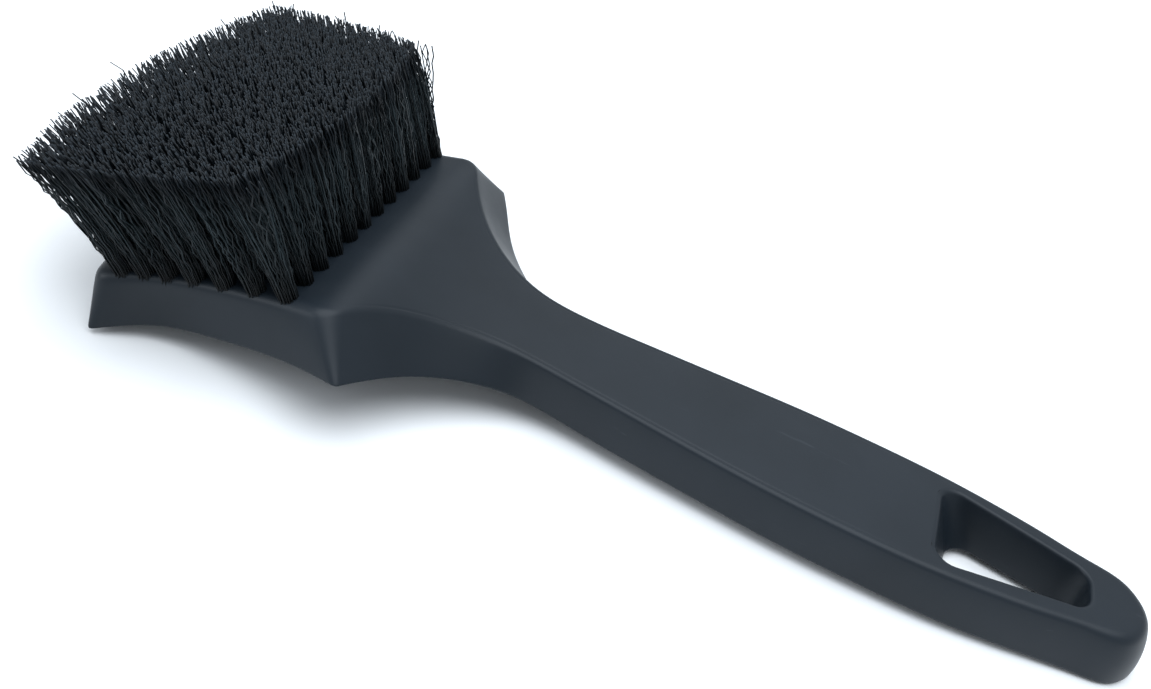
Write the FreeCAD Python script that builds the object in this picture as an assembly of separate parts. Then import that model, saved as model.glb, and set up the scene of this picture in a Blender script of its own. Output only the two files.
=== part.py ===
import FreeCAD, Part

import math
import os

# Wheel brush: one moulded body (grip, neck and fan-shaped head) with staple-set bristle tufts.
# Millimetres. +Z is up, the bristles point up, X runs along the brush with the head at -X and the
# hanging end at +X, and Y runs across it. The brush lies on its back as it does on a bench: on the
# lower edge of the head's front and on the lower edge of the grip's end, so z = 0 is the bench.
# The origin is on the bench, under the middle of the brush's whole length.

# ---- Driving dimensions --------------------------------------------------------------------
LENGTH = 272.4                # over all, end of the grip to the foremost bristle ends
HEAD_PITCH = 14.95            # slope of the head's face, front end down, in degrees

# Grip and neck. Every station is (distance from the grip's end, half width, height). The last
# bottom station is the head's back foot, which is worked out below.
TOP_EDGE = [
    (18.4, 12.0, 14.1), (28.4, 14.0, 14.2), (39.4, 15.8, 14.4), (55.4, 17.6, 14.6),
    (73.4, 18.2, 14.8), (93.4, 17.8, 15.1), (113.4, 16.4, 15.4), (134.4, 14.5, 15.9),
    (150.4, 13.2, 16.4), (161.4, 13.0, 17.2), (172.4, 15.5, 18.8), (183.9, 22.5, 22.0),
    (192.4, 32.4, 25.5), (197.7, 41.8, 27.8),
]
BOTTOM_EDGE = [
    (12.9, 13.4, 0.5), (23.4, 15.1, 1.0), (34.4, 17.0, 1.4), (50.4, 18.9, 1.8),
    (68.4, 19.5, 2.3), (88.4, 19.2, 2.7), (108.9, 17.8, 3.2), (129.9, 15.9, 3.7),
    (146.4, 14.5, 4.6), (156.9, 16.2, 6.9), (167.9, 22.4, 10.1), (178.4, 32.2, 13.1),
    (185.4, 43.5, 16.0),
]
END_REACH = 12.9              # length of the rounded end, along the grip
END_TOP_START = 3.6           # where the top of the rounded end begins
END_BOTTOM_START = 0.0        # where the bottom of the rounded end begins
END_ANGLES = (12.0, 32.0, 58.0)   # steps round the end, in degrees from its tip

# Head, measured along its sloping face from the back corners (a) and out from the middle (y).
HEAD_THICK = 12.5
HEAD_SIDE_TOP = [(0.0, 41.8), (16.0, 41.4), (30.0, 41.6), (42.0, 43.0), (55.2, 46.2)]
HEAD_SIDE_FOOT = [(-5.2, 50.5), (4.8, 47.1), (18.3, 44.4), (31.4, 43.3), (43.8, 44.3), (55.5, 50.9)]
FRONT_BULGE = 5.5             # how far the middle of the front stands past its corners

# Hanging hole, a rounded wedge (distance from the grip's end, half width, corner radius).
HOLE_NARROW = (17.9, 6.3, 5.2)
HOLE_WIDE = (56.2, 14.3, 4.5)        # its wide end on the upper face
HOLE_WIDE_FOOT = (48.9, 10.8, 6.5)   # the same end on the underside, for its wall leans

# Tufts: rows run across the head, from the back row to the front row.
ROWS = 7
COLUMNS = 12
TUFTS_PER_NODE = 2
HOLE_RADIUS = 2.4             # bore for one tuft
TUFT_RADIUS = 2.3             # tuft where it leaves the head
TIP_RADIUS = 3.05             # tuft at its trimmed end
BORE_DEPTH = 9.0
TRIM_HEIGHT = 28.5            # trimmed ends, above the head's face
ROOT_ROWS = [10.7, 18.5, 26.0, 33.0, 39.2, 44.4, 49.4]   # of each row's ends, from the back corners
ROOT_MARGIN = 2.7             # outermost tuft to the edge of the face
ROOT_BULGE = 5.0              # curve of the front row
TIP_BACK = 20.0               # trimmed end of the back row, at the sides
TIP_FRONT = 60.9              # trimmed end of the front row, at the sides
TIP_BACK_HALF = 41.5          # half width over the trimmed ends, back row
TIP_FRONT_HALF = 49.5         # half width over the trimmed ends, front row
TIP_BACK_BULGE = -3.5         # the middle of the back row leans back
TIP_FRONT_BULGE = 6.0         # the middle of the front row leans forward
TIP_SIDE_BULGE = 1.5          # the middle rows spread wider than a straight side would

# Anchors: flat wire driven across the bottom of each bore over the folded filaments.
ANCHOR_WIDTH = 5.3
ANCHOR_HEIGHT = 2.0
ANCHOR_THICK = 0.5
ANCHOR_FOOT = 7.6             # depth of its lower edge under the head's face

SIDES = (-1.0, 1.0)


def mix(start, end, share):
    """Value a share of the way from start to end."""
    return start + (end - start) * share


def at(distance, y, z):
    """A point given by its distance from the grip's end."""
    return FreeCAD.Vector(LENGTH / 2.0 - distance, y, z)


pitch = math.radians(HEAD_PITCH)
forward = FreeCAD.Vector(-math.cos(pitch), 0.0, -math.sin(pitch))
across = FreeCAD.Vector(0.0, 1.0, 0.0)
outward = FreeCAD.Vector(-math.sin(pitch), 0.0, math.cos(pitch))
head_origin = at(TOP_EDGE[-1][0], 0.0, TOP_EDGE[-1][2])


def on_head(a, y, h):
    """A point in the head's own frame: along its face, across it and above it."""
    return head_origin + forward * a + across * y + outward * h


# ---- Body ----------------------------------------------------------------------------------
def section(top, bottom):
    """Four-sided ring through a pair of stations of the two edges."""
    corners = [
        at(top[0], -top[1], top[2]),
        at(top[0], top[1], top[2]),
        at(bottom[0], bottom[1], bottom[2]),
        at(bottom[0], -bottom[1], bottom[2]),
    ]
    return Part.makePolygon(corners + corners[:1])


def end_sections():
    """Rings of the rounded end, whose width follows an ellipse."""
    top = TOP_EDGE[0]
    bottom = BOTTOM_EDGE[0]
    rings = []
    for angle in END_ANGLES:
        reach = END_REACH * (1.0 - math.cos(math.radians(angle)))
        share = math.sin(math.radians(angle))
        rings.append(section(
            (END_TOP_START + reach, top[1] * share, top[2]),
            (END_BOTTOM_START + reach, bottom[1] * share, 0.0),
        ))
    return rings


def head_back_foot():
    """Station of the lower edge of the head's back, which the neck runs into."""
    a, y = HEAD_SIDE_FOOT[0]
    point = on_head(a, y, -HEAD_THICK)
    return (LENGTH / 2.0 - point.x, point.y, point.z)


def make_grip():
    """Grip and neck: a skin through all the rings, from the end to the head's back."""
    rings = end_sections()
    feet = BOTTOM_EDGE + [head_back_foot()]
    rings += [section(top, bottom) for top, bottom in zip(TOP_EDGE, feet)]
    return Part.makeLoft(rings, True, True)


def head_outline(side, h):
    """Closed outline of the head: two curved sides, a bowed front and a straight back."""
    edges = []
    for sign in SIDES:
        curve = Part.BSplineCurve()
        curve.interpolate([on_head(a, sign * y, h) for a, y in side])
        edges.append(curve.toShape())
    front_a, front_y = side[-1]
    middle = on_head(front_a + FRONT_BULGE, 0.0, h)
    corners = [on_head(front_a, sign * front_y, h) for sign in SIDES]
    edges.insert(1, Part.Arc(corners[0], middle, corners[1]).toShape())
    back_a, back_y = side[0]
    edges.append(Part.makeLine(on_head(back_a, -back_y, h), on_head(back_a, back_y, h)))
    return Part.Wire(Part.__sortEdges__(edges))


def make_head():
    """Head block, whose walls lean outwards from its face to its foot."""
    rings = [head_outline(HEAD_SIDE_FOOT, -HEAD_THICK), head_outline(HEAD_SIDE_TOP, 0.0)]
    return Part.makeLoft(rings, True, True)


def rounded_wedge(wide, z):
    """Outline of the hanging hole at one height: straight sides, rounded corners."""
    corners = [
        (HOLE_NARROW[0], -HOLE_NARROW[1], HOLE_NARROW[2]), HOLE_NARROW,
        wide, (wide[0], -wide[1], wide[2]),
    ]
    points = [at(d, y, z) for d, y, radius in corners]
    edges = []
    starts = []
    ends = []
    for i, point in enumerate(points):
        before = (points[i - 1] - point).normalize()
        after = (points[(i + 1) % len(points)] - point).normalize()
        half = before.getAngle(after) / 2.0
        radius = corners[i][2]
        step = radius / math.tan(half)
        centre = point + (before + after).normalize() * (radius / math.sin(half))
        nearest = centre + (point - centre).normalize() * radius
        starts.append(point + before * step)
        ends.append(point + after * step)
        edges.append(Part.Arc(starts[i], nearest, ends[i]).toShape())
    for i in range(len(points)):
        edges.append(Part.makeLine(ends[i], starts[(i + 1) % len(points)]))
    return Part.Wire(Part.__sortEdges__(edges))


def make_hanging_hole():
    """Cutter for the hanging hole, longer than the grip is thick."""
    top_z = TOP_EDGE[2][2]
    bottom_z = BOTTOM_EDGE[2][2]
    overrun = 4.0
    beyond = overrun / (top_z - bottom_z)
    below = [mix(foot, rim, -beyond) for foot, rim in zip(HOLE_WIDE_FOOT, HOLE_WIDE)]
    above = [mix(foot, rim, 1.0 + beyond) for foot, rim in zip(HOLE_WIDE_FOOT, HOLE_WIDE)]
    rings = [rounded_wedge(below, bottom_z - overrun), rounded_wedge(above, top_z + overrun)]
    return Part.makeLoft(rings, True, True)


# ---- Tufts and anchors ---------------------------------------------------------------------
def interpolate(table, x):
    """Straight-line value of a table of (x, y) pairs."""
    for (x0, y0), (x1, y1) in zip(table, table[1:]):
        if x <= x1:
            return y0 + (y1 - y0) * (x - x0) / (x1 - x0)
    return table[-1][1]


def tuft_axis(row, column):
    """Root on the head's face and trimmed end of one tuft, each as (a, y)."""
    u = row / (ROWS - 1.0)
    v = 2.0 * column / (COLUMNS - 1.0) - 1.0
    crown = 1.0 - v * v
    root_a = ROOT_ROWS[row]
    root_half = interpolate(HEAD_SIDE_TOP, root_a) - ROOT_MARGIN
    root = (root_a + ROOT_BULGE * u * crown, v * root_half)
    tip_a = mix(TIP_BACK, TIP_FRONT, u)
    tip_bulge = mix(TIP_BACK_BULGE, TIP_FRONT_BULGE, u)
    tip_half = mix(TIP_BACK_HALF, TIP_FRONT_HALF, u) + TIP_SIDE_BULGE * 4.0 * u * (1.0 - u)
    tip = (tip_a + tip_bulge * crown, v * tip_half)
    return root, tip


def ring_at(root, tip, h, radius):
    """Circle parallel to the head's face, on the tuft's leaning axis."""
    share = h / TRIM_HEIGHT
    centre = on_head(mix(root[0], tip[0], share), mix(root[1], tip[1], share), h)
    return Part.Wire(Part.makeCircle(radius, centre, outward))


def make_bore(root, tip):
    rings = [ring_at(root, tip, -BORE_DEPTH, HOLE_RADIUS), ring_at(root, tip, 1.0, HOLE_RADIUS)]
    return Part.makeLoft(rings, True, True)


def make_anchor(root, tip):
    """Flat wire set square to the face, its ends pressed into the bore's wall."""
    centre_h = -ANCHOR_FOOT + ANCHOR_HEIGHT / 2.0
    share = centre_h / TRIM_HEIGHT
    a = mix(root[0], tip[0], share)
    y = mix(root[1], tip[1], share)
    lowest = (a - ANCHOR_THICK / 2.0, y - ANCHOR_WIDTH / 2.0, -ANCHOR_FOOT)
    corner = on_head(*lowest)
    base = Part.makePolygon([
        corner,
        corner + forward * ANCHOR_THICK,
        corner + forward * ANCHOR_THICK + across * ANCHOR_WIDTH,
        corner + across * ANCHOR_WIDTH,
        corner,
    ])
    return Part.Face(base).extrude(outward * ANCHOR_HEIGHT)


def make_tuft(root, tip, anchor):
    """Bundle of filaments: straight in its bore, spreading to its trimmed end."""
    rings = [
        ring_at(root, tip, -BORE_DEPTH, TUFT_RADIUS),
        ring_at(root, tip, 0.0, TUFT_RADIUS),
        ring_at(root, tip, TRIM_HEIGHT, TIP_RADIUS),
    ]
    return Part.makeLoft(rings, True, True).cut(anchor)


def write(name, shape):
    shape.exportStep(os.path.join("parts", name + ".step"))
    print(name, len(shape.Solids), "solids", round(shape.Volume / 1000.0, 2), "cm3", shape.isValid())


os.makedirs("parts", exist_ok=True)

body = make_grip().fuse(make_head()).removeSplitter()
body = body.cut(make_hanging_hole())
cutters = []
for row in range(ROWS):
    anchors = []
    tufts = []
    for column in range(COLUMNS):
        root, tip = tuft_axis(row, column)
        anchor = make_anchor(root, tip)
        anchors.append(anchor)
        tufts.append(make_tuft(root, tip, anchor))
        cutters += [make_bore(root, tip), anchor]
    write("staple_anchors_row_%d" % (row + 1), Part.makeCompound(anchors))
    for first in range(0, COLUMNS, TUFTS_PER_NODE):
        name = "tufts_row_%d_group_%d" % (row + 1, first // TUFTS_PER_NODE + 1)
        write(name, Part.makeCompound(tufts[first:first + TUFTS_PER_NODE]))
write("brush_body", body.cut(cutters))
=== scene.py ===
import logging
import math
from dataclasses import dataclass
from enum import Enum
from typing import Any, Callable, Optional, Sequence, Union

import bmesh
import bpy
import numpy as np
from mathutils import Matrix, Vector


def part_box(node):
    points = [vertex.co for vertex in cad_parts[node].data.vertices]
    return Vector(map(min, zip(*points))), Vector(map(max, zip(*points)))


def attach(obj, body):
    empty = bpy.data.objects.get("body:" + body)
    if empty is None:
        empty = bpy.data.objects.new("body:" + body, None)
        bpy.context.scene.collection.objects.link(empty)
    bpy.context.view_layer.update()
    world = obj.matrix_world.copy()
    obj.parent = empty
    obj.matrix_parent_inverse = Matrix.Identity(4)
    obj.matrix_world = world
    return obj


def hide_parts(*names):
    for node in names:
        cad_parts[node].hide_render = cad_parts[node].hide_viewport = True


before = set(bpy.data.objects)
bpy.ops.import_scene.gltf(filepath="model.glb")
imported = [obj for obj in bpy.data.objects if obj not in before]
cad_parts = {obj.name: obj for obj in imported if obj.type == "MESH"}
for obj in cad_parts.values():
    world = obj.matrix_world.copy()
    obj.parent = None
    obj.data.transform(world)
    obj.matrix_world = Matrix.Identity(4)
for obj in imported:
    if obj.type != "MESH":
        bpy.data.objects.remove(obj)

logging.basicConfig(level=logging.INFO, format="%(message)s")
log = logging.getLogger("wheel_brush")

MM = 0.001
BODY = "root"
WELD_DISTANCE = 2e-6
GOLDEN_ANGLE = math.pi * (3.0 - math.sqrt(5.0))

Pair = tuple[float, float]
Rgb = tuple[float, float, float]
Rgba = tuple[float, float, float, float]
# A station of the grip: distance from the grip's end, half width, height, in millimetres.
Station = tuple[float, float, float]

# Sides of the head's face: distance along it from the back corners, half width.
HEAD_SIDES: tuple[Pair, ...] = ((0.0, 41.8), (16.0, 41.4), (30.0, 41.6), (42.0, 43.0), (55.2, 46.2))


class Slot(Enum):
    """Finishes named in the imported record."""

    MOULDING = "moulding"
    BRISTLE = "bristle"
    WIRE = "staple_wire"


# ---- Shader expressions --------------------------------------------------------------------
Value = Union["Signal", float]
Operator = Callable[["Signal", Value], "Signal"]


def _operators(operation: str) -> tuple[Operator, Operator]:
    """Makes an arithmetic operator and its reflected form, with the number on the left.

    Args:
        operation: the Math node's operation.

    Returns:
        The two methods.
    """

    def plain(self: "Signal", other: Value) -> "Signal":
        """This signal first, then the other value."""
        return self._math(operation, self, other)

    def reflected(self: "Signal", other: float) -> "Signal":
        """The number first, then this signal."""
        return self._math(operation, other, self)

    return plain, reflected


class Signal:
    """A number travelling through a material's nodes, written as ordinary arithmetic."""

    def __init__(self, tree: bpy.types.NodeTree, socket: bpy.types.NodeSocket) -> None:
        """Wraps an output socket of a node tree.

        Args:
            tree: the node tree that the socket belongs to.
            socket: the output socket.
        """
        self.tree = tree
        self.socket = socket

    def _math(self, operation: str, first: Value, second: Value) -> "Signal":
        """Adds one Math node.

        Args:
            operation: the Math node's operation.
            first: its first value.
            second: its second value.

        Returns:
            The node's result.
        """
        node = self.tree.nodes.new("ShaderNodeMath")
        node.operation = operation
        for place, value in enumerate((first, second)):
            if isinstance(value, Signal):
                self.tree.links.new(value.socket, node.inputs[place])
            else:
                node.inputs[place].default_value = value
        return Signal(self.tree, node.outputs[0])

    __add__, __radd__ = _operators("ADD")
    __sub__, __rsub__ = _operators("SUBTRACT")
    __mul__, __rmul__ = _operators("MULTIPLY")


class Recipe:
    """A material under construction: makes nodes, joins them and ends in one shader."""

    def __init__(self, name: str) -> None:
        """Starts an empty material.

        Args:
            name: the material's name.
        """
        self.material = bpy.data.materials.new(name)
        self.material.use_nodes = True
        self.tree = self.material.node_tree
        self.tree.nodes.clear()

    def node(
        self,
        kind: str,
        settings: Optional[dict[str, Any]] = None,
        inputs: Optional[dict[Union[int, str], Any]] = None,
    ) -> bpy.types.Node:
        """Adds a node, sets it up and feeds it.

        Args:
            kind: the node's type.
            settings: properties set before anything else; "stops" fills a colour ramp.
            inputs: value, Signal or output socket for each named or numbered input.

        Returns:
            The new node.
        """
        made = self.tree.nodes.new(kind)
        for key, value in (settings or {}).items():
            if key == "stops":
                self._fill_ramp(made, value)
            else:
                setattr(made, key, value)
        for key, value in (inputs or {}).items():
            if isinstance(value, Signal):
                self.tree.links.new(value.socket, made.inputs[key])
            elif isinstance(value, bpy.types.NodeSocket):
                self.tree.links.new(value, made.inputs[key])
            else:
                made.inputs[key].default_value = value
        return made

    @staticmethod
    def _fill_ramp(node: bpy.types.Node, stops: Sequence[tuple[float, Rgb]]) -> None:
        """Gives a colour ramp its stops.

        Args:
            node: the Color Ramp node.
            stops: position and colour of each stop, in order.
        """
        elements = node.color_ramp.elements
        while len(elements) < len(stops):
            elements.new(1.0)
        for element, (position, colour) in zip(elements, stops):
            element.position = position
            element.color = (*colour, 1.0)

    def value(self, socket: bpy.types.NodeSocket) -> Signal:
        """Wraps a socket so that it can be used in arithmetic."""
        return Signal(self.tree, socket)

    def attribute(self, name: str) -> Signal:
        """A number stored on the piece's own points."""
        return self.value(self.node("ShaderNodeAttribute", {"attribute_name": name}).outputs["Fac"])

    def place(self, scale: Sequence[float] = (1.0, 1.0, 1.0)) -> bpy.types.NodeSocket:
        """Object coordinates, stretched.

        Args:
            scale: how much each axis is multiplied.

        Returns:
            The coordinates as a vector socket.
        """
        source = self.node("ShaderNodeTexCoord").outputs["Object"]
        return self.node("ShaderNodeMapping", None, {"Vector": source, "Scale": scale}).outputs[0]

    def noise(
        self,
        scale: float,
        detail: float = 2.0,
        rough: float = 0.5,
        stretch: Sequence[float] = (1.0, 1.0, 1.0),
    ) -> Signal:
        """Noise fixed to the piece.

        Args:
            scale: features per metre.
            detail: octaves of finer noise.
            rough: how strong the finer octaves are.
            stretch: scale of each axis before the noise.

        Returns:
            A value around one half.
        """
        inputs = {"Vector": self.place(stretch), "Scale": scale, "Detail": detail, "Roughness": rough}
        return self.value(self.node("ShaderNodeTexNoise", None, inputs).outputs[0])

    def ramp(self, source: Signal, stops: Sequence[tuple[float, Rgb]]) -> bpy.types.NodeSocket:
        """Colour ramp of a value.

        Args:
            source: the value.
            stops: position and colour of each stop.

        Returns:
            The colour socket.
        """
        made = self.node("ShaderNodeValToRGB", {"stops": stops}, {0: source})
        return made.outputs["Color"]

    def mask(self, source: Signal, low: float, high: float) -> Signal:
        """Smooth step of a value from 0 at low to 1 at high.

        Args:
            source: the value.
            low: where the step starts.
            high: where the step ends.

        Returns:
            The mask, from 0 to 1.
        """
        settings = {"interpolation_type": "SMOOTHSTEP"}
        inputs = {0: source, 1: low, 2: high, 3: 0.0, 4: 1.0}
        return self.value(self.node("ShaderNodeMapRange", settings, inputs).outputs[0])

    def blend(self, share: Value, first: Any, second: Any) -> bpy.types.NodeSocket:
        """Mix of two colours.

        Args:
            share: how much of the second.
            first: colour or socket.
            second: colour or socket.

        Returns:
            The mixed colour.
        """
        inputs = {0: share, 6: first, 7: second}
        return self.node("ShaderNodeMix", {"data_type": "RGBA"}, inputs).outputs[2]

    def bump(self, height: Signal, strength: float, depth: float) -> bpy.types.NodeSocket:
        """Bump from a height.

        Args:
            height: the height, around 0 to 1.
            strength: of the effect.
            depth: real depth of one unit of height, in metres.

        Returns:
            The normal.
        """
        inputs = {"Strength": strength, "Distance": depth, "Height": height}
        return self.node("ShaderNodeBump", None, inputs).outputs[0]

    def finish(self, **sockets: Any) -> bpy.types.Material:
        """Ends the material in one Principled shader.

        Args:
            sockets: its inputs, with underscores for spaces.

        Returns:
            The finished material.
        """
        inputs = {key.replace("_", " "): value for key, value in sockets.items()}
        shader = self.node("ShaderNodeBsdfPrincipled", None, inputs)
        self.node("ShaderNodeOutputMaterial", None, {"Surface": shader.outputs[0]})
        return self.material


def grey(level: float) -> Rgba:
    """A neutral colour."""
    return (level, level, level, 1.0)


# ---- Finishes ------------------------------------------------------------------------------
@dataclass(frozen=True)
class MouldedPolymer:
    """Satin dark slate moulding with fine spark-eroded grain, dull patches and light scuffs."""

    deep: Rgb = (0.0065, 0.0105, 0.0150)
    pale: Rgb = (0.0105, 0.0155, 0.0215)
    dust: Rgba = (0.045, 0.054, 0.064, 1.0)
    roughness: float = 0.42
    gloss: float = 0.27

    def material(self) -> bpy.types.Material:
        """Builds the material: broad tone drift, grain in the bump, scuffs that are paler and duller."""
        make = Recipe("slate_polymer")
        drift = make.noise(26.0, 3.0, 0.55)
        grain = make.noise(5200.0, 2.0, 0.6)
        cloud = make.noise(190.0, 4.0, 0.6)
        tone = make.ramp(drift, ((0.32, self.deep), (0.68, self.pale)))
        scratch = make.mask(make.noise(420.0, 3.0, 0.7, (0.10, 1.0, 1.0)), 0.66, 0.74)
        # The scuff mask is real wear of the moulding: paler, duller streaks.
        wear_and_shade = scratch * make.mask(drift, 0.45, 0.62)
        colour = make.blend(wear_and_shade * 0.35, tone, self.dust)
        rough = self.roughness + (cloud - 0.5) * 0.10 + (grain - 0.5) * 0.06 + wear_and_shade * 0.12
        height = grain * 0.7 + cloud * 0.3
        normal = make.bump(height, 0.10, 0.00006)
        return make.finish(
            Base_Color=colour, Roughness=rough, Normal=normal, IOR=1.50, Specular_IOR_Level=self.gloss
        )


@dataclass(frozen=True)
class BristlePolymer:
    """Dark crimped filament with painted shade, blacker at the root and at the upper end, and a painted
    highlight on the cut ends; its own tone on every filament.
    """

    # Painted shade: near black at the root, standing in for the shade between the packed filaments at
    # the bore.
    root: Rgba = (0.0015, 0.0020, 0.0026, 1.0)
    shaft: Rgba = (0.0120, 0.0185, 0.0215, 1.0)
    # Painted shade: the upper end is darker than the shaft, taking back light that falls on the top of
    # the field.
    wear_and_shade: Rgba = (0.0036, 0.0060, 0.0084, 1.0)
    # Painted highlight: the cut ends are lighter than the darkened upper end.
    cut: Rgba = (0.0115, 0.0165, 0.0215, 1.0)
    contrast: float = 0.55
    roughness: float = 0.42
    gloss: float = 0.22

    def material(self) -> bpy.types.Material:
        """Builds the material from the filament's own attributes: length along it and tone."""
        make = Recipe("bristle_filament")
        along, tone = make.attribute("along"), make.attribute("tone")
        # Painted shade at the root and the upper end, then a painted highlight on the cut ends.
        body = make.blend(make.mask(along, 0.0, 0.50), self.root, self.shaft)
        upper = make.blend(make.mask(along, 0.70, 0.93), body, self.wear_and_shade)
        tipped = make.blend(make.mask(along, 0.985, 0.995), upper, self.cut)
        shade = make.blend(tone, grey(1.0 - self.contrast), grey(1.0 + self.contrast))
        settings = {"data_type": "RGBA", "blend_type": "MULTIPLY"}
        colour = make.node("ShaderNodeMix", settings, {0: 1.0, 6: tipped, 7: shade}).outputs[2]
        grain = make.noise(3000.0, 2.0, 0.5)
        rough = self.roughness + (grain - 0.5) * 0.12 + (tone - 0.5) * 0.10
        normal = make.bump(grain, 0.15, 0.00005)
        return make.finish(
            Base_Color=colour, Roughness=rough, Normal=normal, IOR=1.50, Specular_IOR_Level=self.gloss
        )


@dataclass(frozen=True)
class DrawnSteel:
    """Bright flat wire with draw lines along it."""

    dull: Rgb = (0.36, 0.36, 0.37)
    bright: Rgb = (0.62, 0.62, 0.63)
    roughness: float = 0.32

    def material(self) -> bpy.types.Material:
        """Builds the material: streaks along the wire in colour, roughness and bump."""
        make = Recipe("drawn_wire")
        streak = make.noise(2600.0, 3.0, 0.6, (1.0, 0.05, 1.0))
        colour = make.ramp(streak, ((0.3, self.dull), (0.7, self.bright)))
        rough = self.roughness + (streak - 0.5) * 0.25
        normal = make.bump(streak, 0.2, 0.00002)
        return make.finish(Base_Color=colour, Roughness=rough, Normal=normal, Metallic=1.0)


@dataclass(frozen=True)
class PaleFloor:
    """Matt white paper."""

    low: Rgb = (0.90, 0.90, 0.90)
    high: Rgb = (0.94, 0.94, 0.94)

    def material(self) -> bpy.types.Material:
        """Builds the material: a very faint mottling."""
        make = Recipe("white_paper")
        mottle = make.noise(14.0, 3.0, 0.5)
        colour = make.ramp(mottle, ((0.3, self.low), (0.7, self.high)))
        rough = 0.85 + mottle * 0.08
        return make.finish(Base_Color=colour, Roughness=rough, Specular_IOR_Level=0.2)


# ---- Mesh helpers --------------------------------------------------------------------------
@dataclass
class Patch:
    """A grid of points and whether its faces run the other way round."""

    points: np.ndarray
    flipped: bool = False

    def mirrored(self) -> "Patch":
        """The same grid on the other side of the middle plane, facing outwards."""
        return Patch(self.points * np.array([1.0, -1.0, 1.0]), not self.flipped)

    def faces(self, start: int) -> np.ndarray:
        """Quads of the grid: point (i, j) joins (i, j + 1), (i + 1, j + 1) and (i + 1, j).

        Args:
            start: index of the grid's first point in the mesh.

        Returns:
            One row of four indices for each quad.
        """
        rows, columns = self.points.shape[:2]
        index = start + np.arange(rows * columns).reshape(rows, columns)
        quads = np.stack([index[:-1, :-1], index[:-1, 1:], index[1:, 1:], index[1:, :-1]], axis=-1)
        quads = quads.reshape(-1, 4)
        return quads[:, ::-1] if self.flipped else quads


def link(name: str, data: bpy.types.ID) -> bpy.types.Object:
    """Makes an object of a mesh, lamp or camera, at the origin, and links it to the scene."""
    made = bpy.data.objects.new(name, data)
    bpy.context.scene.collection.objects.link(made)
    return made


def weld(name: str, patches: Sequence[Patch]) -> bpy.types.Object:
    """Makes one closed, smooth-shaded object from grids that share their borders.

    Args:
        name: the object's name.
        patches: the grids.

    Returns:
        The object, at the origin, linked to the scene.
    """
    points = np.concatenate([patch.points.reshape(-1, 3) for patch in patches])
    starts = np.cumsum([0] + [patch.points.size // 3 for patch in patches[:-1]])
    quads = np.concatenate([patch.faces(int(start)) for patch, start in zip(patches, starts)])
    mesh = bpy.data.meshes.new(name)
    mesh.from_pydata(points, [], quads)
    work = bmesh.new()
    work.from_mesh(mesh)
    bmesh.ops.remove_doubles(work, verts=work.verts, dist=WELD_DISTANCE)
    bmesh.ops.dissolve_degenerate(work, edges=work.edges, dist=WELD_DISTANCE)
    bmesh.ops.recalc_face_normals(work, faces=work.faces)
    open_edges = sum(1 for edge in work.edges if not edge.is_manifold)
    work.to_mesh(mesh)
    work.free()
    mesh.polygons.foreach_set("use_smooth", np.ones(len(mesh.polygons), dtype=bool))
    log.info("%s: %d faces, %d open edges", name, len(mesh.polygons), open_edges)
    return link(name, mesh)


class Spline:
    """Natural cubic spline: through every point, with a smooth bend that fades at the ends."""

    def __init__(self, knots: np.ndarray, points: np.ndarray) -> None:
        """Solves for the second derivative at every knot.

        The usual row for an inner knot is: left gap times the derivative before, plus twice both
        gaps times its own, plus right gap times the next, equals six times the change of slope.

        Args:
            knots: parameter of each point, rising.
            points: one row for each knot.
        """
        self.knots = knots
        self.points = points
        gap = np.diff(knots)
        slope = np.diff(points, axis=0) / gap[:, None]
        middle = np.concatenate([[1.0], 2.0 * (gap[:-1] + gap[1:]), [1.0]])
        lower = np.concatenate([gap[:-1], [0.0]])
        upper = np.concatenate([[0.0], gap[1:]])
        matrix = np.diag(middle) + np.diag(lower, -1) + np.diag(upper, 1)
        right = np.zeros_like(points)
        right[1:-1] = 6.0 * np.diff(slope, axis=0)
        self.bend = np.linalg.solve(matrix, right)

    def at(self, where: np.ndarray) -> np.ndarray:
        """Points at parameters: the cubic of the gap that each parameter falls in.

        Args:
            where: the parameters.

        Returns:
            One row for each parameter.
        """
        i = np.clip(np.searchsorted(self.knots, where, side="right") - 1, 0, len(self.knots) - 2)
        gap = (self.knots[i + 1] - self.knots[i])[:, None]
        t = (where - self.knots[i])[:, None]
        start, end = self.bend[i], self.bend[i + 1]
        slope = (self.points[i + 1] - self.points[i]) / gap - gap * (2.0 * start + end) / 6.0
        return self.points[i] + slope * t + start * t**2 / 2.0 + (end - start) * t**3 / (6.0 * gap)


def curve(steps: int, *controls: np.ndarray) -> np.ndarray:
    """Bezier curves: each control is weighted by its binomial term of the share gone.

    Args:
        steps: number of points along each curve.
        controls: the first points, the points that the curves lean to, and the last points.

    Returns:
        The curves, with the steps as the last but one axis.
    """
    t = np.linspace(0.0, 1.0, steps)[:, None]
    top = len(controls) - 1
    return sum(
        math.comb(top, k) * (1.0 - t) ** (top - k) * t**k * points[..., None, :]
        for k, points in enumerate(controls)
    )


def straight(start: np.ndarray, end: np.ndarray, shares: np.ndarray) -> np.ndarray:
    """Straight lines: start plus a share of the way to the end.

    Args:
        start: first points.
        end: last points.
        shares: share of the way at each step.

    Returns:
        The lines, with the steps as the last but one axis.
    """
    t = shares[:, None]
    return start[..., None, :] * (1.0 - t) + end[..., None, :] * t


def between(ends: Pair, share: np.ndarray) -> np.ndarray:
    """Values a share of the way from the first of a pair to the second."""
    return ends[0] + (ends[1] - ends[0]) * share


def unit(vectors: np.ndarray) -> np.ndarray:
    """Vectors of length one."""
    return vectors / np.maximum(np.linalg.norm(vectors, axis=-1, keepdims=True), 1e-12)


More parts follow.
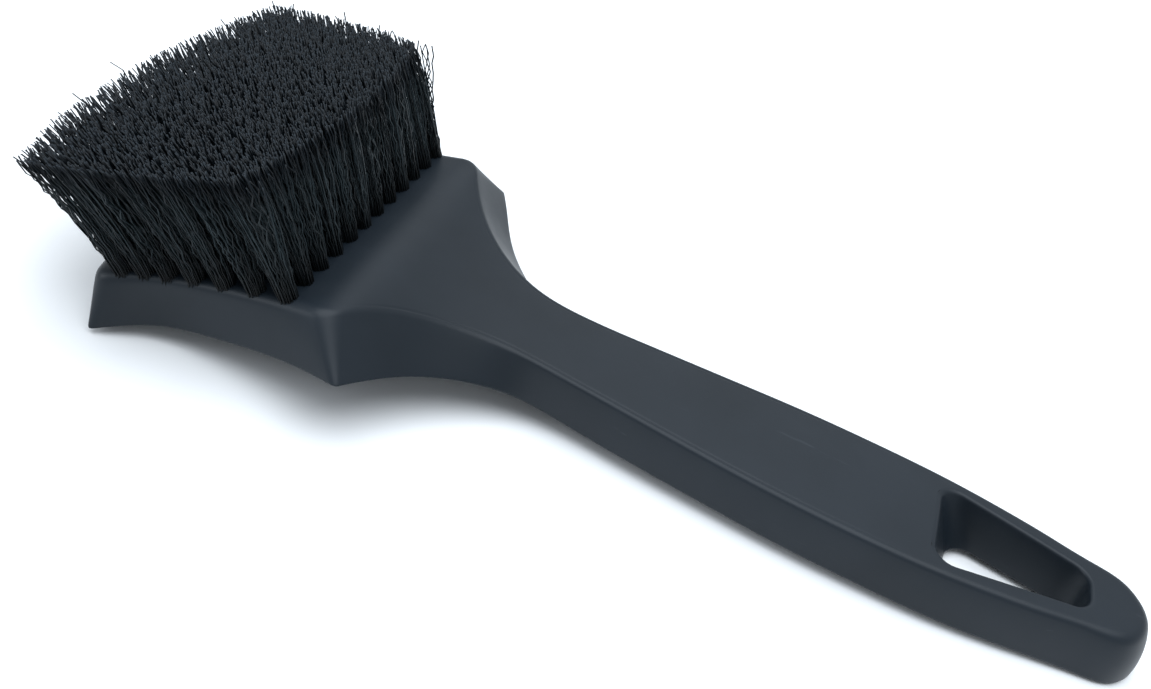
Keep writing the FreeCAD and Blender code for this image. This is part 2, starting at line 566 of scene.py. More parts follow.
def inward(outline: np.ndarray) -> np.ndarray:
    """Level direction square to an outline, to its left as it runs.

    The first and last points lie on the middle plane, which the outline crosses square.

    Args:
        outline: points in order.

    Returns:
        One unit vector for each point.
    """
    run = np.gradient(outline[:, :2], axis=0)
    run[0] = (0.0, 1.0)
    run[-1] = (0.0, -1.0)
    return unit(np.stack([-run[:, 1], run[:, 0], np.zeros(len(run))], axis=1))


# ---- Body ----------------------------------------------------------------------------------
@dataclass
class HeadFrame:
    """The head's own axes: along its sloping face, across it, and out of it."""

    pitch: float = 14.95
    back: float = 197.7
    height: float = 27.8
    length: float = 272.4

    def axes(self) -> tuple[np.ndarray, np.ndarray, np.ndarray]:
        """Unit vectors forward, across and outward, in that order."""
        turn = math.radians(self.pitch)
        forward = np.array([-math.cos(turn), 0.0, -math.sin(turn)])
        outward = np.array([-math.sin(turn), 0.0, math.cos(turn)])
        return forward, np.array([0.0, 1.0, 0.0]), outward

    def points(self, a: Any, y: Any, h: Any) -> np.ndarray:
        """Points given along the face, across it and above it, in millimetres.

        Args:
            a: distances from the back corners.
            y: distances from the middle plane.
            h: heights above the face.

        Returns:
            Points in metres, in the frame of the part.
        """
        a, y, h = np.broadcast_arrays(*(np.asarray(v, dtype=float) for v in (a, y, h)))
        forward, across, outward = self.axes()
        origin = np.array([self.length / 2.0 - self.back, 0.0, self.height])
        offset = a[..., None] * forward + y[..., None] * across + h[..., None] * outward
        return (origin + offset) * MM


@dataclass
class BrushBody:
    """Grip, neck and head in one moulding, with the hanging hole."""

    head: HeadFrame
    top_edge: tuple[Station, ...] = (
        (18.4, 12.0, 14.1), (28.4, 14.0, 14.2), (39.4, 15.8, 14.4), (55.4, 17.6, 14.6),
        (73.4, 18.2, 14.8), (93.4, 17.8, 15.1), (113.4, 16.4, 15.4), (134.4, 14.5, 15.9),
        (150.4, 13.2, 16.4), (161.4, 13.0, 17.2), (172.4, 15.5, 18.8), (183.9, 22.5, 22.0),
        (192.4, 32.4, 25.5), (197.7, 41.8, 27.8),
    )
    bottom_edge: tuple[Station, ...] = (
        (12.9, 13.4, 0.5), (23.4, 15.1, 1.0), (34.4, 17.0, 1.4), (50.4, 18.9, 1.8),
        (68.4, 19.5, 2.3), (88.4, 19.2, 2.7), (108.9, 17.8, 3.2), (129.9, 15.9, 3.7),
        (146.4, 14.5, 4.6), (156.9, 16.2, 6.9), (167.9, 22.4, 10.1), (178.4, 32.2, 13.1),
        (185.4, 43.5, 16.0),
    )
    end_reach: float = 12.9
    end_starts: Pair = (3.6, 0.0)
    end_angles: tuple[float, ...] = (12.0, 32.0, 58.0)
    thick: float = 12.5
    side_foot: tuple[Pair, ...] = (
        (-5.2, 50.5), (4.8, 47.1), (18.3, 44.4), (31.4, 43.3), (43.8, 44.3), (55.5, 50.9),
    )
    front_bulge: float = 5.5
    hole_nose: Pair = (17.9, 6.3)
    hole_nose_round: float = 5.2
    hole_wide: Pair = (56.2, 14.3)
    hole_wide_foot: Pair = (48.9, 10.8)
    hole_wide_rounds: Pair = (4.5, 6.5)
    corner_cuts: Pair = (4.5, 1.7)
    rim_round: float = 1.1
    # Edge roundings and the wall's bulge, each at these distances from the grip's end.
    round_stops: tuple[float, ...] = (7.0, 20.0, 150.0, 185.0, 197.0, 202.0)
    top_rounds: tuple[float, ...] = (2.4, 1.5, 1.0, 0.8, 1.0, 2.4)
    foot_rounds: tuple[float, ...] = (1.7, 1.4, 1.1, 0.9, 0.8, 0.8)
    wall_bulges: tuple[float, ...] = (0.9, 0.5, 0.4, -0.3, -0.2, 0.0)
    # Height of the crown in the middle of the top face, and its share at each distance.
    crown: float = 0.55
    crown_stops: tuple[float, ...] = (6.0, 30.0, 150.0, 185.0, 200.0)
    crown_shares: tuple[float, ...] = (0.0, 1.0, 1.0, 0.5, 0.0)
    # Width and depth of the groove inside the upper edge, and its share at each distance.
    groove: Pair = (0.75, 0.16)
    groove_stops: tuple[float, ...] = (55.0, 105.0, 183.0, 194.0)
    groove_shares: tuple[float, ...] = (0.0, 1.0, 1.0, 0.0)
    ridge_window: float = 7.0
    # The face's rows fan out round the hole between these distances, then straighten.
    fan: Pair = (10.5, 65.0)
    fan_fade: float = 26.0
    end_rows: int = 12
    neck_rows: int = 84
    side_rows: int = 26
    front_rows: int = 18
    back_corner_rows: int = 12
    front_corner_rows: int = 9
    face_shares: tuple[float, ...] = (0.0, 0.12, 0.26, 0.42, 0.58, 0.72, 0.84, 0.92, 0.97, 1.0)
    edge_steps: int = 7
    wall_steps: int = 10
    rim_steps: int = 6

    def place(self, stations: np.ndarray) -> np.ndarray:
        """Points in metres from rows of distance from the end, side and height in millimetres."""
        distance, side, height = stations.T
        return np.stack([self.head.length / 2.0 - distance, side, height], axis=1) * MM

    def _distance(self, points: np.ndarray) -> np.ndarray:
        """Distance of points from the grip's end, in millimetres."""
        return self.head.length / 2.0 - points[..., 0] / MM

    def _edge_points(self, top: bool) -> np.ndarray:
        """Points that one long edge runs through, from the mirrored side of the tip to the head.

        The rounded end is a quarter of an ellipse: half width goes with the sine of the angle and
        distance with one minus its cosine.

        Args:
            top: the upper edge, or else the lower one.

        Returns:
            Rows of distance, side and height in millimetres.
        """
        stations = np.array(self.top_edge if top else self.bottom_edge)
        mirrored = [-angle for angle in reversed(self.end_angles)]
        angle = np.radians(np.array([*mirrored, 0.0, *self.end_angles]))
        start = self.end_starts[0 if top else 1]
        height = stations[0, 2] if top else 0.0
        end = np.stack(
            [
                start + self.end_reach * (1.0 - np.cos(angle)),
                stations[0, 1] * np.sin(angle),
                np.full(len(angle), height),
            ],
            axis=1,
        )
        if top:
            return np.concatenate([end, stations])
        a, y = self.side_foot[0]
        foot = self.head.points(a, y, -self.thick) / MM
        foot[0] = self.head.length / 2.0 - foot[0]
        return np.concatenate([end, stations, foot[None]])

    def _splines(self) -> tuple[Spline, Spline, float]:
        """Splines of the upper and lower edge on shared knots, 0 at the tip, and the last knot."""
        upper, lower = self._edge_points(True), self._edge_points(False)
        chord = 0.5 * sum(np.linalg.norm(np.diff(points, axis=0), axis=1) for points in (upper, lower))
        knots = np.concatenate([[0.0], np.cumsum(chord)])
        knots -= knots[len(self.end_angles)]
        return Spline(knots, upper), Spline(knots, lower), float(knots[-1])

    def _rim(self, wide: Pair, wide_round: float) -> tuple[np.ndarray, np.ndarray]:
        """Half outline of the hanging hole: across the nose, round it, along, round again and back.

        Args:
            wide: distance of the wide end from the grip's end, and its half width.
            wide_round: radius of the wide end's corners.

        Returns:
            Rows of distance and side, and each row's share of the whole run.
        """
        corners = np.array([(self.hole_nose[0], 0.0), self.hole_nose, wide, (wide[0], 0.0)])
        runs: list[np.ndarray] = []
        last = corners[0]
        for place, radius in ((1, self.hole_nose_round), (2, wide_round)):
            corner = corners[place]
            before, after = unit(corners[place - 1] - corner), unit(corners[place + 1] - corner)
            half = math.acos(float(np.clip(before @ after, -1.0, 1.0))) / 2.0
            step = radius / math.tan(half)
            centre = corner + unit(before + after) * radius / math.sin(half)
            first = corner + before * step
            runs.append(straight(last, first, np.linspace(0.0, 1.0, 3 if place == 1 else 16))[:-1])
            sweep = np.linspace(-1.0, 1.0, 9) * (math.pi / 2.0 - half)
            towards = -unit(before + after)
            aside = unit(first - centre - towards * ((first - centre) @ towards))
            arc = np.cos(sweep)[:, None] * towards - np.sin(sweep)[:, None] * aside
            runs.append((centre + radius * arc)[:-1])
            last = corner + after * step
        runs.append(straight(last, corners[3], np.linspace(0.0, 1.0, 7)))
        rim = np.concatenate(runs)
        length = np.concatenate([[0.0], np.cumsum(np.linalg.norm(np.diff(rim, axis=0), axis=1))])
        return rim, length / length[-1]

    def _outlines(self) -> tuple[np.ndarray, np.ndarray, slice]:
        """Upper and lower outline of one half, matched point for point.

        They run from the tip along the grip, round the head's back corner, along its side, round
        its front corner and along the bowed front to the middle.

        Returns:
            Two arrays of points in metres, and the points that belong to the hanging hole.
        """
        upper, lower, last = self._splines()
        sample = np.linspace(0.0, last, 400)
        start, end = np.interp(self.fan, upper.at(sample)[:, 0], sample)
        share = self._rim(self.hole_wide, self.hole_wide_rounds[0])[1]
        tip = start * np.linspace(0.0, 1.0, self.end_rows + 1)[:-1]
        knots = np.concatenate([tip, start + (end - start) * share])
        hole = slice(self.end_rows, len(knots))
        sides = ((upper, HEAD_SIDES, 0.0), (lower, self.side_foot, -self.thick))
        outlines = []
        for (spline, side, h), cut in zip(sides, self.corner_cuts):
            whole = np.concatenate([knots, np.linspace(end, last - cut, self.neck_rows)[1:]])
            outlines.append(self._outline(spline, whole, side, h, cut))
        return outlines[0], outlines[1], hole

    def _outline(
        self, spline: Spline, knots: np.ndarray, side: Sequence[Pair], h: float, cut: float
    ) -> np.ndarray:
        """One outline: the grip's edge, then the head's.

        Args:
            spline: the grip's edge.
            knots: where to sample it.
            side: the head's side, distance along the face and half width.
            h: height of the outline above the head's face.
            cut: how far the rounding of the head's corners reaches along the outline.

        Returns:
            Points in metres.
        """
        table = np.array(side)
        long_edge = Spline(table[:, 0], table[:, 1:])
        front = table[-1]
        a = np.linspace(table[0, 0] + cut, front[0] - cut, self.side_rows)
        flank = self.head.points(a, long_edge.at(a)[:, 0], h)
        y = np.linspace(front[1] - cut, 0.0, self.front_rows)
        bow = self.head.points(front[0] + self.front_bulge * (1.0 - (y / front[1]) ** 2), y, h)
        grip = self.place(spline.at(knots))
        back_corner = self.head.points(table[0, 0], table[0, 1], h)
        front_corner = self.head.points(front[0], front[1], h)
        first = curve(self.back_corner_rows, grip[-1], back_corner, flank[0])
        second = curve(self.front_corner_rows, flank[-1], front_corner, bow[0])
        return np.concatenate([grip[:-1], first, flank[1:-1], second, bow[1:]])

    def _profile(self, outline: np.ndarray, points: np.ndarray) -> np.ndarray:
        """Height of a face over the plan: that of its outline, averaged along the brush inside it.

        At the outline the height is the outline's own. Towards the middle it is the mean over the
        ridge window, which rounds the ridge at the head's back and the bend at the neck.

        Args:
            outline: the face's outline.
            points: where the height is wanted.

        Returns:
            The points with their heights set.
        """
        order = np.argsort(outline[:, 0])
        xs, ys, zs = outline[order].T
        x, y = points[..., 0], np.abs(points[..., 1])
        window = self.ridge_window * MM
        offsets = np.linspace(-window, window, 15)
        weights = 1.0 - np.abs(offsets / window) + 0.05
        shifted = np.interp(x[..., None] + offsets, xs, zs)
        exact = np.interp(x, xs, zs)
        fit = np.clip((x - xs[0]) / window, 0.0, 1.0) * np.clip((xs[-1] - x) / window, 0.0, 1.0)
        soft = exact + ((shifted * weights).sum(axis=-1) / weights.sum() - exact) * fit
        edge = np.clip(y / np.maximum(np.interp(x, xs, ys), 1e-6), 0.0, 1.0) ** 4
        made = points.copy()
        made[..., 2] = soft * (1.0 - edge) + exact * edge
        return made

    def _crowned(self, outline: np.ndarray, points: np.ndarray) -> np.ndarray:
        """Raises the grip's top face a little in its middle, not at all on the head.

        Args:
            outline: the face's outline.
            points: points of the face.

        Returns:
            The raised points.
        """
        order = np.argsort(outline[:, 0])
        half = np.interp(points[..., 0], outline[order, 0], outline[order, 1])
        across = np.clip(np.abs(points[..., 1]) / np.maximum(half, 1e-6), 0.0, 1.0)
        amount = np.interp(self._distance(points), self.crown_stops, self.crown_shares)
        made = points.copy()
        made[..., 2] += self.crown * MM * amount * (1.0 - across**2)
        return made

    def _rounds(self, top: np.ndarray) -> tuple[np.ndarray, np.ndarray, np.ndarray]:
        """Edge roundings and wall bulge at every point of the outline, in metres.

        Args:
            top: the upper outline.

        Returns:
            Rounding of the upper edge, of the lower edge, and the wall's bulge.
        """
        distance = self._distance(top)
        tables = (self.top_rounds, self.foot_rounds, self.wall_bulges)
        upper, lower, bulge = (np.interp(distance, self.round_stops, table) * MM for table in tables)
        return upper, lower, bulge

    def patches(self) -> list[Patch]:
        """Grids of one half: the outer skin and the wall of the hanging hole.

        Each row of the skin runs from the middle (or the hole's rim) over the top face, round the
        upper edge, down the wall, round the lower edge and back under. The wall is a cubic curve
        whose ends lean out by the bulge.

        Returns:
            The two grids.
        """
        top, foot, hole = self._outlines()
        upper, lower, bulge = self._rounds(top)
        top_in, foot_in = inward(top), inward(foot)
        drop = foot - top
        lean = 4.0 * bulge[:, None] * top_in
        down, up = unit(drop - lean), unit(-drop - lean)
        top_inner = self._inset(top, top_in, upper)
        foot_inner = self._inset(foot, foot_in, lower)
        top_inner = self._crowned(top, self._profile(top, top_inner))
        foot_inner = self._profile(foot, foot_inner)
        top_low = top + down * upper[:, None]
        foot_high = foot + up * lower[:, None]
        third = np.linalg.norm(foot_high - top_low, axis=1, keepdims=True) / 3.0

        rim, wall = self._hole_wall(top, foot)
        top_start = self._centre(top_inner, hole, rim[:, 0])
        foot_start = self._centre(foot_inner, hole, rim[:, -1])
        shares = np.array(self.face_shares)
        groove = self._groove(top_start, top_inner)
        face = np.concatenate([straight(top_start, groove[:, 0], shares), groove[:, 1:]], axis=1)
        face = self._crowned(top, self._profile(top, face))
        depth = np.interp(self._distance(top), self.groove_stops, self.groove_shares)
        face[:, -2, 2] -= self.groove[1] * MM * depth
        under = straight(foot_inner, foot_start, 1.0 - shares[::-1])
        under = self._profile(foot, under)
        arrive = foot_high + up * third
        skin = np.concatenate(
            [
                face[:, :-1],
                curve(self.edge_steps, top_inner, top, top_low),
                curve(self.wall_steps, top_low, top_low + down * third, arrive, foot_high)[:, 1:-1],
                curve(self.edge_steps, foot_high, foot, foot_inner),
                under[:, 1:],
            ],
            axis=1,
        )
        skin[[0, -1], :, 1] = 0.0
        return [Patch(skin), Patch(wall, True)]

    def _groove(self, start: np.ndarray, edge: np.ndarray) -> np.ndarray:
        """Three points of each row beside the upper edge: brink, bed and the edge itself.

        Args:
            start: where the rows of the face start.
            edge: where they end.

        Returns:
            The points, before the bed is sunk.
        """
        run = np.linalg.norm(start - edge, axis=1, keepdims=True)
        wide = np.minimum(self.groove[0] * MM, 0.3 * run)
        back = unit(start - edge) * wide
        return np.stack([edge + back, edge + 0.5 * back, edge], axis=1)

    @staticmethod
    def _inset(outline: np.ndarray, towards: np.ndarray, by: np.ndarray) -> np.ndarray:
        """The outline moved inwards, never past the middle plane."""
        made = outline + towards * by[:, None]
        made[:, 1] = np.maximum(made[:, 1], 0.0)
        return made

    def _centre(self, inner: np.ndarray, hole: slice, rim: np.ndarray) -> np.ndarray:
        """Where each row of a face starts: on the hole's rim or on the middle line.

        Before the hole the starts are spread evenly from the tip to the nose. After it they lag
        behind their rows by less and less, until the rows run square across.

        Args:
            inner: the face's edge.
            hole: the rows that belong to the hole.
            rim: the hole's rim.

        Returns:
            One point for each row.
        """
        made = inner * np.array([1.0, 0.0, 1.0])
        count = hole.start
        share = np.linspace(0.0, 1.0, count + 1)[:-1]
        made[:count, 0] = inner[0, 0] + (rim[0, 0] - inner[0, 0]) * share
        made[hole] = rim
        after = inner[hole.stop:]
        lag = rim[-1, 0] - inner[hole.stop - 1, 0]
        gone = np.clip((inner[hole.stop - 1, 0] - after[:, 0]) / (self.fan_fade * MM), 0.0, 1.0)
        made[hole.stop:, 0] += lag * (1.0 - gone) ** 2
        return made

    def _hole_wall(self, top: np.ndarray, foot: np.ndarray) -> tuple[np.ndarray, np.ndarray]:
        """The hole's wall from the top face to the underside, its rims rounded.

        Args:
            top: the upper outline.
            foot: the lower outline.

        Returns:
            The wall's first and last point of each row, and the whole grid.
        """
        rims = []
        ends = zip((self.hole_wide, self.hole_wide_foot), self.hole_wide_rounds, (top, foot))
        for wide, wide_round, outline in ends:
            plan = self._rim(wide, wide_round)[0]
            points = self.place(np.column_stack([plan, np.zeros(len(plan))]))
            away = -inward(points)
            outer = points + away * self.rim_round * MM
            pair = np.stack([points, outer], axis=1)
            pair = self._profile(outline, pair)
            rims.append(self._crowned(top, pair) if outline is top else pair)
        upper, lower = rims
        down = unit(lower[:, 0] - upper[:, 0]) * self.rim_round * MM
        low, high = upper[:, 0] + down, lower[:, 0] - down
        wall = np.concatenate(
            [
                curve(self.rim_steps, upper[:, 1], upper[:, 0], low),
                straight(low, high, np.linspace(0.0, 1.0, 7))[:, 1:-1],
                curve(self.rim_steps, high, lower[:, 0], lower[:, 1]),
            ],
            axis=1,
        )
        wall[[0, -1], :, 1] = 0.0
        return wall[:, [0, -1]], wall

    def build(self, material: bpy.types.Material) -> None:
        """Makes the body, dresses it and lets it stand for its CAD node.

        Args:
            material: the moulding's finish.
        """
        half = self.patches()
        made = weld("moulded_body", half + [patch.mirrored() for patch in half])
        made.data.materials.append(material)
        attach(made, BODY)
        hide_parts("brush_body")


# ---- Bristles ------------------------------------------------------------------------------
@dataclass
class BristleField:
    """Rows of tufts, each a bundle of crimped filaments cut off level."""

    head: HeadFrame
    rows: int = 7
    columns: int = 12
    tufts_per_piece: int = 2
    filaments: int = 80
    segments: int = 14
    root_rows: tuple[float, ...] = (10.7, 18.5, 26.0, 33.0, 39.2, 44.4, 49.4)
    root_margin: float = 2.3
    root_bulge: float = 5.0
    tip_run: Pair = (20.0, 60.9)
    tip_half: Pair = (41.5, 49.5)
    tip_bulge: Pair = (-3.5, 6.0)
    tip_side_bulge: float = 1.5
    root_radius: float = 2.2
    trim: float = 28.5
    buried: float = 2.5
    thickness: float = 0.19
    crimp_pitch: float = 4.8
    crimp_depth: float = 0.36
    # Trimmed ends, in gaps between tufts: how wide one tuft's ends spread, how far they may pass
    # the outermost tufts, and the share of any excess that is taken back.
    spread: float = 0.66
    overhang: Pair = (0.42, 0.36)
    taken_back: float = 0.85
    tip_jitter: float = 0.10
    tip_limit: float = 1.1
    # Stray filaments: their share at the border and inside it, how far strays and the others
    # wander from their places, and how much the heights vary.
    stray_shares: Pair = (0.10, 0.03)
    wander: Pair = (2.2, 0.40)
    trim_jitter: float = 0.12
    stray_heights: Pair = (-1.4, 0.9)
    # Loose filaments at the back corners: how many, and how far they lean back and outwards.
    loose: int = 4
    loose_back: Pair = (4.0, 11.0)
    loose_side: Pair = (0.0, 4.0)
    late_lean: float = 0.22
    bow: float = 0.7
    crimp_jitter: float = 0.12
    seed: int = 11

    def roots(self, u: np.ndarray, v: np.ndarray) -> tuple[np.ndarray, np.ndarray]:
        """Where tufts leave the face, from their share of the way forward and across.

        Args:
            u: 0 for the back row to 1 for the front row.
            v: minus 1 to 1 across.

        Returns:
            Distance along the face and across it.
        """
        table = np.array(HEAD_SIDES)
        a = np.interp(u * (self.rows - 1.0), np.arange(self.rows), self.root_rows)
        half = np.interp(a, table[:, 0], table[:, 1]) - self.root_margin
        return a + self.root_bulge * u * (1.0 - v**2), v * half

    def tips(self, u: np.ndarray, v: np.ndarray) -> tuple[np.ndarray, np.ndarray]:
        """Where tufts end, from the same shares; the rows bow forward towards the front.

        Args:
            u: 0 for the back row to 1 for the front row.
            v: minus 1 to 1 across.

        Returns:
            Distance along the face and across it.
        """
        half = between(self.tip_half, u) + self.tip_side_bulge * 4.0 * u * (1.0 - u)
        return between(self.tip_run, u) + between(self.tip_bulge, u) * (1.0 - v**2), v * half

    def ends(
        self, rng: np.random.Generator, row: int, u: np.ndarray, v: np.ndarray, disc: np.ndarray
    ) -> tuple[np.ndarray, np.ndarray, np.ndarray, np.ndarray]:
        """Trimmed ends of the filaments of one group.

        Args:
            rng: the group's source of random numbers.
            row: row of the group, 0 at the back.
            u: share of the way forward of each filament's tuft.
            v: place across of each filament's tuft, minus 1 to 1.
            disc: place of each filament in its tuft, along and across, from minus 1 to 1.

        Returns:
            Distance along the face, distance across it, height, and whether each one strays.
        """
        count = len(v)
        gap_u, gap_v = 1.0 / (self.rows - 1.0), 2.0 / (self.columns - 1.0)
        jitter = rng.normal(0.0, self.tip_jitter, (2, count))
        shift = np.clip(disc + jitter, -self.tip_limit, self.tip_limit) * self.spread
        tip_u, tip_v = u + gap_u * shift[0], v + gap_v * shift[1]
        margin_u, margin_v = self.overhang[0] * gap_u, self.overhang[1] * gap_v
        over_u = np.maximum(tip_u - 1.0 - margin_u, 0.0) + np.minimum(tip_u + margin_u, 0.0)
        over_v = np.maximum(tip_v - 1.0 - margin_v, 0.0) + np.minimum(tip_v + 1.0 + margin_v, 0.0)
        a, y = self.tips(tip_u - over_u * self.taken_back, tip_v - over_v * self.taken_back)
        at_side = np.abs(v) > 1.0 - gap_v / 2.0
        stray = rng.random(count) < np.where(at_side | (row in (0, self.rows - 1)), *self.stray_shares)
        wander = rng.normal(0.0, 1.0, (2, count)) * np.where(stray, *self.wander)
        if row == 0:
            loose = np.flatnonzero(at_side)[:self.loose]
            stray[loose] = True
            wander[0, loose] -= rng.uniform(*self.loose_back, len(loose))
            wander[1, loose] += rng.uniform(*self.loose_side, len(loose)) * np.sign(v[loose])
        tall = self.trim + rng.normal(0.0, self.trim_jitter, count)
        tall = tall + np.where(stray, rng.uniform(*self.stray_heights, count), 0.0)
        return a + wander[0], y + wander[1], tall, stray

    def piece(self, row: int, group: int) -> tuple[np.ndarray, np.ndarray, np.ndarray]:
        """Filaments of one group of tufts, as three-sided tubes.

        A filament's middle line goes from its place in the bore to its place in the trimmed field,
        a little more sideways the higher it is, plus a sine wave in its own plane for the crimp and
        a slow bow. The tube is a triangle carried along that line.

        Args:
            row: row of the group, 0 at the back.
            group: which pair of tufts, 0 at the near side.

        Returns:
            Points as filament, ring, side; share of the length for each; tone of each filament.
        """
        rng = np.random.default_rng(self.seed + 100 * row + group)
        tufts = np.arange(self.tufts_per_piece)
        column = group * self.tufts_per_piece + np.repeat(tufts, self.filaments)
        spoke = np.tile(np.arange(self.filaments), self.tufts_per_piece)
        count = len(spoke)
        radius = np.sqrt((spoke + 0.5) / self.filaments)
        angle = spoke * GOLDEN_ANGLE + column
        disc = radius * np.array([np.cos(angle), np.sin(angle)])
        u = np.full(count, row / (self.rows - 1.0))
        v = 2.0 * column / (self.columns - 1.0) - 1.0
        root_a, root_y = np.array(self.roots(u, v)) + self.root_radius * disc
        tip_a, tip_y, tall, stray = self.ends(rng, row, u, v, disc)

        t = np.linspace(0.0, 1.0, self.segments + 1)[None, :]
        h = -self.buried + (tall[:, None] + self.buried) * t
        rise = np.clip(h / self.trim, 0.0, 1.2)
        ease = (1.0 - self.late_lean) * rise + self.late_lean * rise**2
        a = root_a[:, None] + (tip_a - root_a)[:, None] * ease
        y = root_y[:, None] + (tip_y - root_y)[:, None] * ease
        plane = rng.random(count)[:, None] * math.tau
        phase = rng.random(count)[:, None] * math.tau
        pitch = self.crimp_pitch * (1.0 + self.crimp_jitter * rng.normal(0.0, 1.0, count)[:, None])
        deep = self.crimp_depth * (0.7 + 0.6 * rng.random(count) + np.where(stray, 0.8, 0.0))[:, None]
        wave = deep * np.clip(rise * 5.0, 0.0, 1.0) * np.sin(math.tau * h / pitch + phase)
        bow = self.bow * rng.normal(0.0, 1.0, count)[:, None] * np.sin(math.pi * rise) * rise
        a = a + wave * np.cos(plane) - bow * np.sin(plane)
        y = y + wave * np.sin(plane) + bow * np.cos(plane)
        corner = math.tau * np.arange(3) / 3.0 + rng.random(count)[:, None] * math.tau
        thick = self.thickness * (0.9 + 0.2 * rng.random(count))[:, None]
        side_a = (thick * np.cos(corner))[:, None, :]
        side_y = (thick * np.sin(corner))[:, None, :]
        points = self.head.points(a[..., None] + side_a, y[..., None] + side_y, h[..., None])
        along = np.broadcast_to(t[..., None], points.shape[:3])
        tone = np.broadcast_to(rng.random(count)[:, None, None], points.shape[:3])
        return points, along, tone

    def faces(self, count: int) -> tuple[np.ndarray, np.ndarray]:
        """Faces of filaments: quads between rings, and a triangle at each end.

        Args:
            count: number of filaments.

        Returns:
            The quads and the triangles.
        """
        rings = self.segments + 1
        index = np.arange(count * rings * 3).reshape(count, rings, 3)
        turned = np.roll(index, -1, axis=2)
        quads = np.stack([index[:, :-1], index[:, 1:], turned[:, 1:], turned[:, :-1]], axis=-1)
        ends = np.concatenate([index[:, 0], index[:, -1][:, ::-1]])
        return quads.reshape(-1, 4), ends

    def build(self, material: bpy.types.Material) -> None:
        """Makes every group of tufts and lets it stand for its CAD node.

        Args:
            material: the filaments' finish.
        """
        groups = self.columns // self.tufts_per_piece
        for row in range(self.rows):
            for group in range(groups):
                points, along, tone = self.piece(row, group)
                quads, ends = self.faces(points.shape[0])
                name = f"bristles_row_{row + 1}_group_{group + 1}"
                mesh = bpy.data.meshes.new(name)
                mesh.from_pydata(points.reshape(-1, 3), [], quads.tolist() + ends.tolist())
                smooth = np.ones(len(mesh.polygons), dtype=bool)
                smooth[len(quads):] = False
                mesh.polygons.foreach_set("use_smooth", smooth)
                for label, values in (("along", along), ("tone", tone)):
                    store = mesh.attributes.new(label, "FLOAT", "POINT")
                    flat = np.ascontiguousarray(values, dtype=np.float32).ravel()
                    store.data.foreach_set("value", flat)
                mesh.materials.append(material)
                made = link(name, mesh)
                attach(made, BODY)
                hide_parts(f"tufts_row_{row + 1}_group_{group + 1}")
            log.info("row %d: %d groups of %d filaments", row + 1, groups, points.shape[0])


@dataclass
class Anchors:
    """The flat wires at the bottom of the bores, kept as their CAD nodes."""

    rows: int = 7

    def dress(self, material: bpy.types.Material) -> None:
        """Gives every row of anchors its finish.

        Args:
            material: the wire's finish.
        """
        for row in range(self.rows):
            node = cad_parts[f"staple_anchors_row_{row + 1}"]
            for slot in node.material_slots:
                slot.material = material
            log.info("anchors of row %d dressed", row + 1)


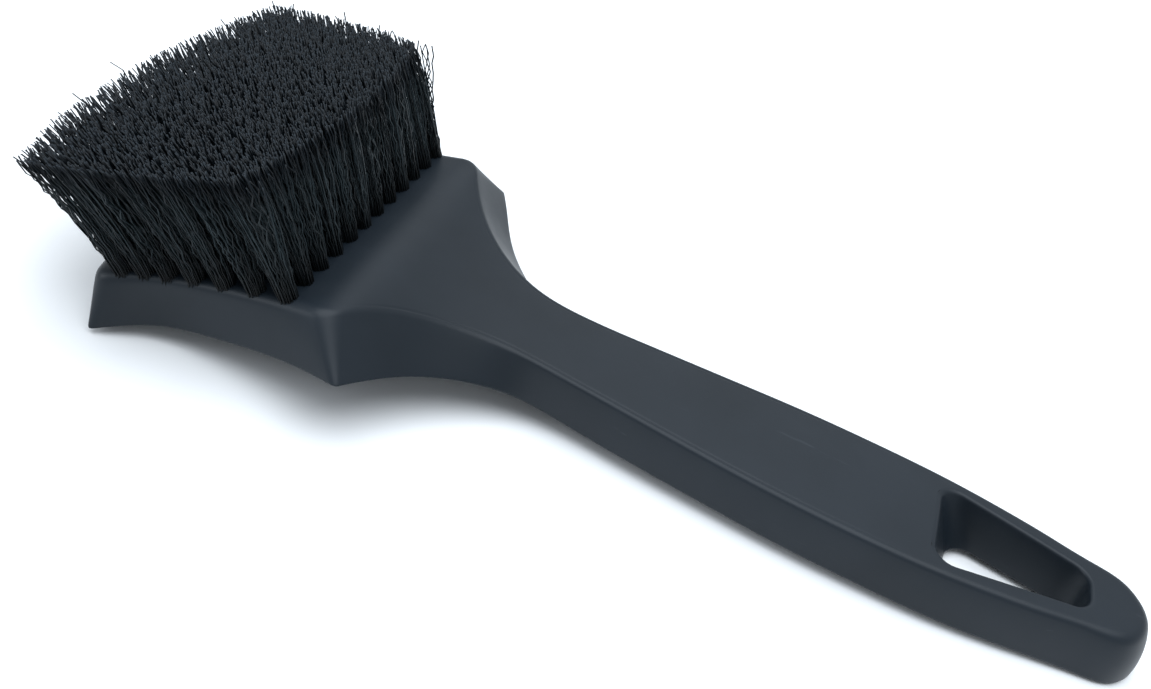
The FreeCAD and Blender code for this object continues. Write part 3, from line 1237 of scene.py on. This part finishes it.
# ---- Studio --------------------------------------------------------------------------------
@dataclass
class Studio:
    """Pale floor, soft lights and the camera."""

    target: tuple[float, float, float] = (-14.45, -0.19, 16.99)
    distance: float = 307.0
    azimuth: float = 6.146
    elevation: float = 36.04
    roll: float = 21.07
    lens: float = 40.134
    sensor: float = 36.0
    floor_half: float = 3.0
    sky: float = 0.55
    tint: Rgb = (0.93, 1.0, 1.07)
    ceiling: float = 2.9
    ceiling_angle: float = 70.0
    # Name, place, size in metres and power of each lamp.
    lights: tuple[tuple[str, tuple[float, float, float], float, float], ...] = (
        ("back_light", (-0.10, 1.10, 0.85), 1.0, 1.2),
        ("side_light", (-1.10, -0.60, 0.60), 0.6, 4.0),
    )

    def build_floor(self, material: bpy.types.Material) -> None:
        """Lays a square floor at the part's lowest height."""
        side = np.array([-1.0, 1.0]) * self.floor_half
        x, y = np.meshgrid(side, side, indexing="ij")
        height = min(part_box(name)[0].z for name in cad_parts)
        points = np.stack([x, y, np.full_like(x, height)], axis=-1)
        mesh = bpy.data.meshes.new("floor")
        mesh.from_pydata(points.reshape(-1, 3), [], [(0, 2, 3, 1)])
        mesh.materials.append(material)
        floor = link("floor", mesh)
        log.info("floor laid at %.2f mm", height / MM)

    def build_lights(self) -> None:
        """Sets the even white surround and the large soft lights."""
        world = bpy.data.worlds.new("surround")
        world.use_nodes = True
        background = world.node_tree.nodes["Background"]
        background.inputs["Color"].default_value = (*self.tint, 1.0)
        background.inputs["Strength"].default_value = self.sky
        bpy.context.scene.world = world
        ceiling = bpy.data.lights.new("ceiling_light", "SUN")
        ceiling.energy = self.ceiling
        ceiling.color = self.tint
        ceiling.angle = math.radians(self.ceiling_angle)
        link("ceiling_light", ceiling)
        for name, place, size, power in self.lights:
            data = bpy.data.lights.new(name, "AREA")
            data.shape = "DISK"
            data.size = size
            data.energy = power
            data.color = self.tint
            lamp = link(name, data)
            lamp.location = place
            lamp.rotation_mode = "QUATERNION"
            lamp.rotation_quaternion = (-Vector(place)).to_track_quat("-Z", "Y")
            log.info("%s placed", name)

    def build_camera(self) -> None:
        """Places the camera: back from the target along its line of sight, then rolled about it."""
        azimuth, elevation = math.radians(self.azimuth), math.radians(self.elevation)
        back = Vector(
            (
                math.sin(azimuth) * math.cos(elevation),
                -math.cos(azimuth) * math.cos(elevation),
                math.sin(elevation),
            )
        )
        data = bpy.data.cameras.new("camera")
        data.lens = self.lens
        data.sensor_width = self.sensor
        data.clip_start = 0.01
        data.clip_end = 20.0
        camera = link("camera", data)
        camera.rotation_mode = "QUATERNION"
        roll = Matrix.Rotation(math.radians(self.roll), 4, "Z").to_quaternion()
        camera.rotation_quaternion = (-back).to_track_quat("-Z", "Y") @ roll
        camera.location = (Vector(self.target) + back * self.distance) * MM
        bpy.context.scene.camera = camera

    def build(self, floor_finish: bpy.types.Material) -> None:
        """Builds the whole studio.

        Args:
            floor_finish: the floor's finish.
        """
        self.build_camera()
        self.build_floor(floor_finish)
        self.build_lights()
        bpy.context.scene.view_settings.view_transform = "Standard"


def corners(box: Sequence[Vector]) -> list[list[float]]:
    """A box's two corners as plain lists."""
    return [[float(value) for value in corner] for corner in box]


def main() -> None:
    """Builds the brush around its CAD frame."""
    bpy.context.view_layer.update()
    head = HeadFrame()
    Studio().build(PaleFloor().material())
    BrushBody(head).build(MouldedPolymer().material())
    BristleField(head).build(BristlePolymer().material())
    Anchors().dress(DrawnSteel().material())


if __name__ == "__main__":
    main()
